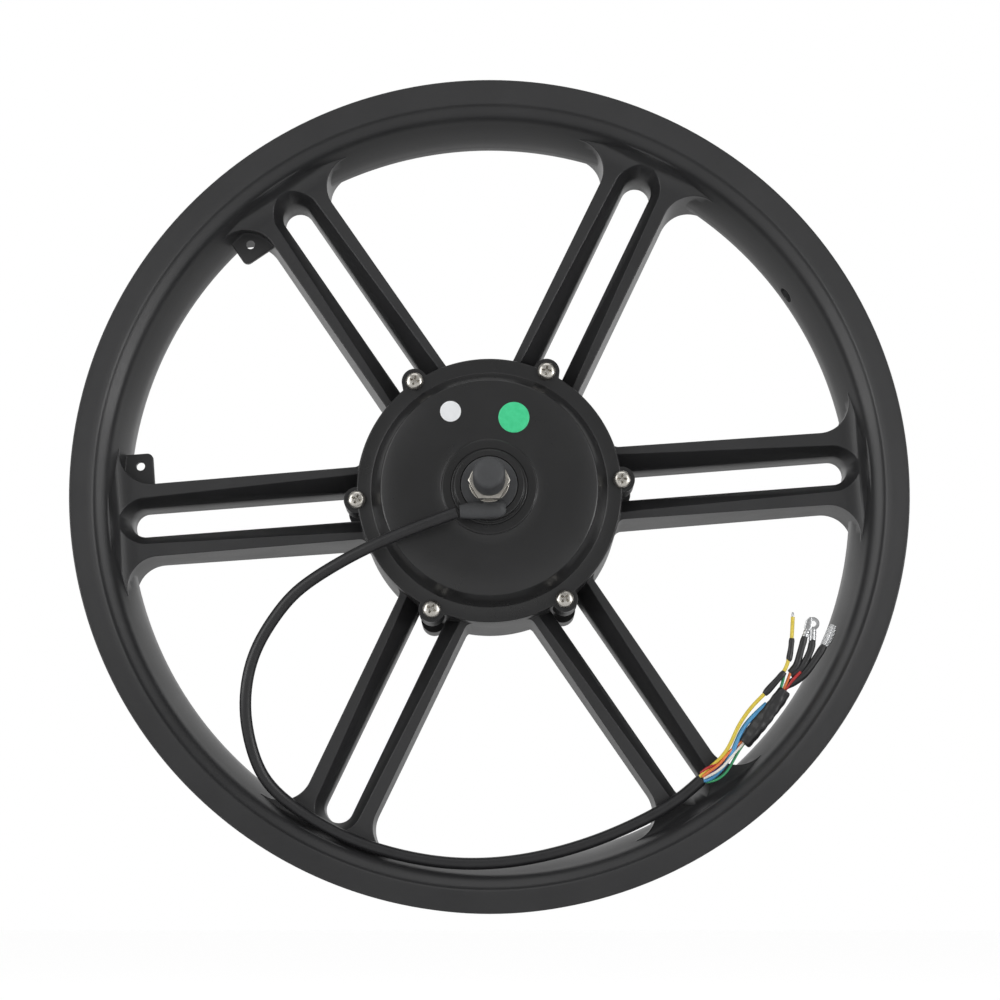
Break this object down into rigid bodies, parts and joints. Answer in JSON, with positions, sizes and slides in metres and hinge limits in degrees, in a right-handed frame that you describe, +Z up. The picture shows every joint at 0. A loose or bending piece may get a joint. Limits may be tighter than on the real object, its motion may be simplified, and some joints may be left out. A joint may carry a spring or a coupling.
{
  "type": "hub motor wheel",
  "caption": "Cast spoked wheel with a geared electric motor in its hub, threaded axle ends with nuts, and a jacketed motor cable ending in loose wires.",
  "frame": {"origin": "centre of the wheel: the middle of the rim's width, on the axle's line", "axes": "+Z up with the wheel upright, +Y along the axle towards the brake disc side, -Y towards the freewheel side seen in the picture, +X to the viewer's right from the freewheel side"},
  "size_m": [0.42, 0.21, 0.42],
  "materials": {
    "black_paint": "satin black paint on cast aluminium",
    "zinc": "bright zinc plate",
    "steel": "turned steel",
    "nickel": "nickel plate",
    "bearing_steel": "ground bearing steel",
    "aluminium": "turned aluminium",
    "rubber": "matt grey-black rubber",
    "cable_jacket": "soft black jacket",
    "lamination": "electrical steel sheet",
    "copper": "enamelled copper wire",
    "circuit_board": "green circuit board",
    "magnet": "nickel-plated magnet",
    "nylon": "natural nylon",
    "white_label": "blank white sticker",
    "green_label": "blank green sticker",
    "yellow_wire": "yellow insulation",
    "blue_wires": "insulated wires"
  },
  "bodies": {
    "axle_assembly": {"axle": "steel", "axle_sleeve": "rubber", "brake_axle_nut": "nickel", "brake_bearing_ball_cage": "nickel", "brake_bearing_inner_race": "bearing_steel", "brake_end_turns": "copper", "brake_spacer": "steel", "brake_washer": "nickel", "cable_boot": "rubber", "clutch_hub": "steel", "drive_axle_nut": "nickel", "drive_bearing_ball_cage": "nickel", "drive_bearing_inner_race": "bearing_steel", "drive_end_turns": "copper", "drive_washer": "nickel", "hall_sensor_board": "circuit_board", "heat_shrink_sleeve": "cable_jacket", "motor_cable": "cable_jacket", "planet_carrier": "steel", "planet_pin_1": "steel", "planet_pin_2": "steel", "planet_pin_3": "steel", "retaining_ring": "steel", "rotor_bearing_inner_race": "bearing_steel", "stator_core": "lamination", "stator_hub": "aluminium", "terminal_leads": "cable_jacket", "wire_bundle": "blue_wires", "yellow_phase_wire": "yellow_wire"},
    "wheel": {"wheel_casting": "black_paint", "drive_side_cover": "black_paint", "brake_side_cover": "black_paint", "drive_cover_screw_1": "zinc", "drive_cover_screw_2": "zinc", "drive_cover_screw_3": "zinc", "drive_cover_screw_4": "zinc", "drive_cover_screw_5": "zinc", "drive_cover_screw_6": "zinc", "brake_cover_screw_1": "zinc", "brake_cover_screw_2": "zinc", "brake_cover_screw_3": "zinc", "brake_cover_screw_4": "zinc", "brake_cover_screw_5": "zinc", "brake_cover_screw_6": "zinc", "white_sticker": "white_label", "green_sticker": "green_label", "drive_axle_seal": "rubber", "brake_axle_seal": "rubber", "ring_gear": "steel", "drive_bearing_outer_race": "bearing_steel", "brake_bearing_outer_race": "bearing_steel"},
    "rotor": {"rotor_bell": "steel", "magnet_ring": "magnet", "rotor_bearing_outer_race": "bearing_steel", "sun_gear": "steel"},
    "planet_1": {"planet_gear_1": "nylon"},
    "planet_2": {"planet_gear_2": "nylon"},
    "planet_3": {"planet_gear_3": "nylon"}
  },
  "joints": [
    {"name": "wheel_spin", "type": "hinge", "parent": "axle_assembly", "child": "wheel", "pos_m": [0, 0, 0], "axis": [0, 1, 0], "continuous": true},
    {"name": "rotor_spin", "type": "hinge", "parent": "axle_assembly", "child": "rotor", "pos_m": [0, 0, 0], "axis": [0, 1, 0], "continuous": true},
    {"name": "planet_1_spin", "type": "hinge", "parent": "axle_assembly", "child": "planet_1", "pos_m": [0, 0, 0.0315], "axis": [0, 1, 0], "continuous": true},
    {"name": "planet_2_spin", "type": "hinge", "parent": "axle_assembly", "child": "planet_2", "pos_m": [-0.02728, 0, -0.01575], "axis": [0, 1, 0], "continuous": true},
    {"name": "planet_3_spin", "type": "hinge", "parent": "axle_assembly", "child": "planet_3", "pos_m": [0.02728, 0, -0.01575], "axis": [0, 1, 0], "continuous": true}
  ],
  "couplings": [
    {"joint": "rotor_spin", "follows": "wheel_spin", "ratio": -4.6},
    {"joint": "planet_1_spin", "follows": "wheel_spin", "ratio": 2.5556},
    {"joint": "planet_2_spin", "follows": "wheel_spin", "ratio": 2.5556},
    {"joint": "planet_3_spin", "follows": "wheel_spin", "ratio": 2.5556}
  ]
}
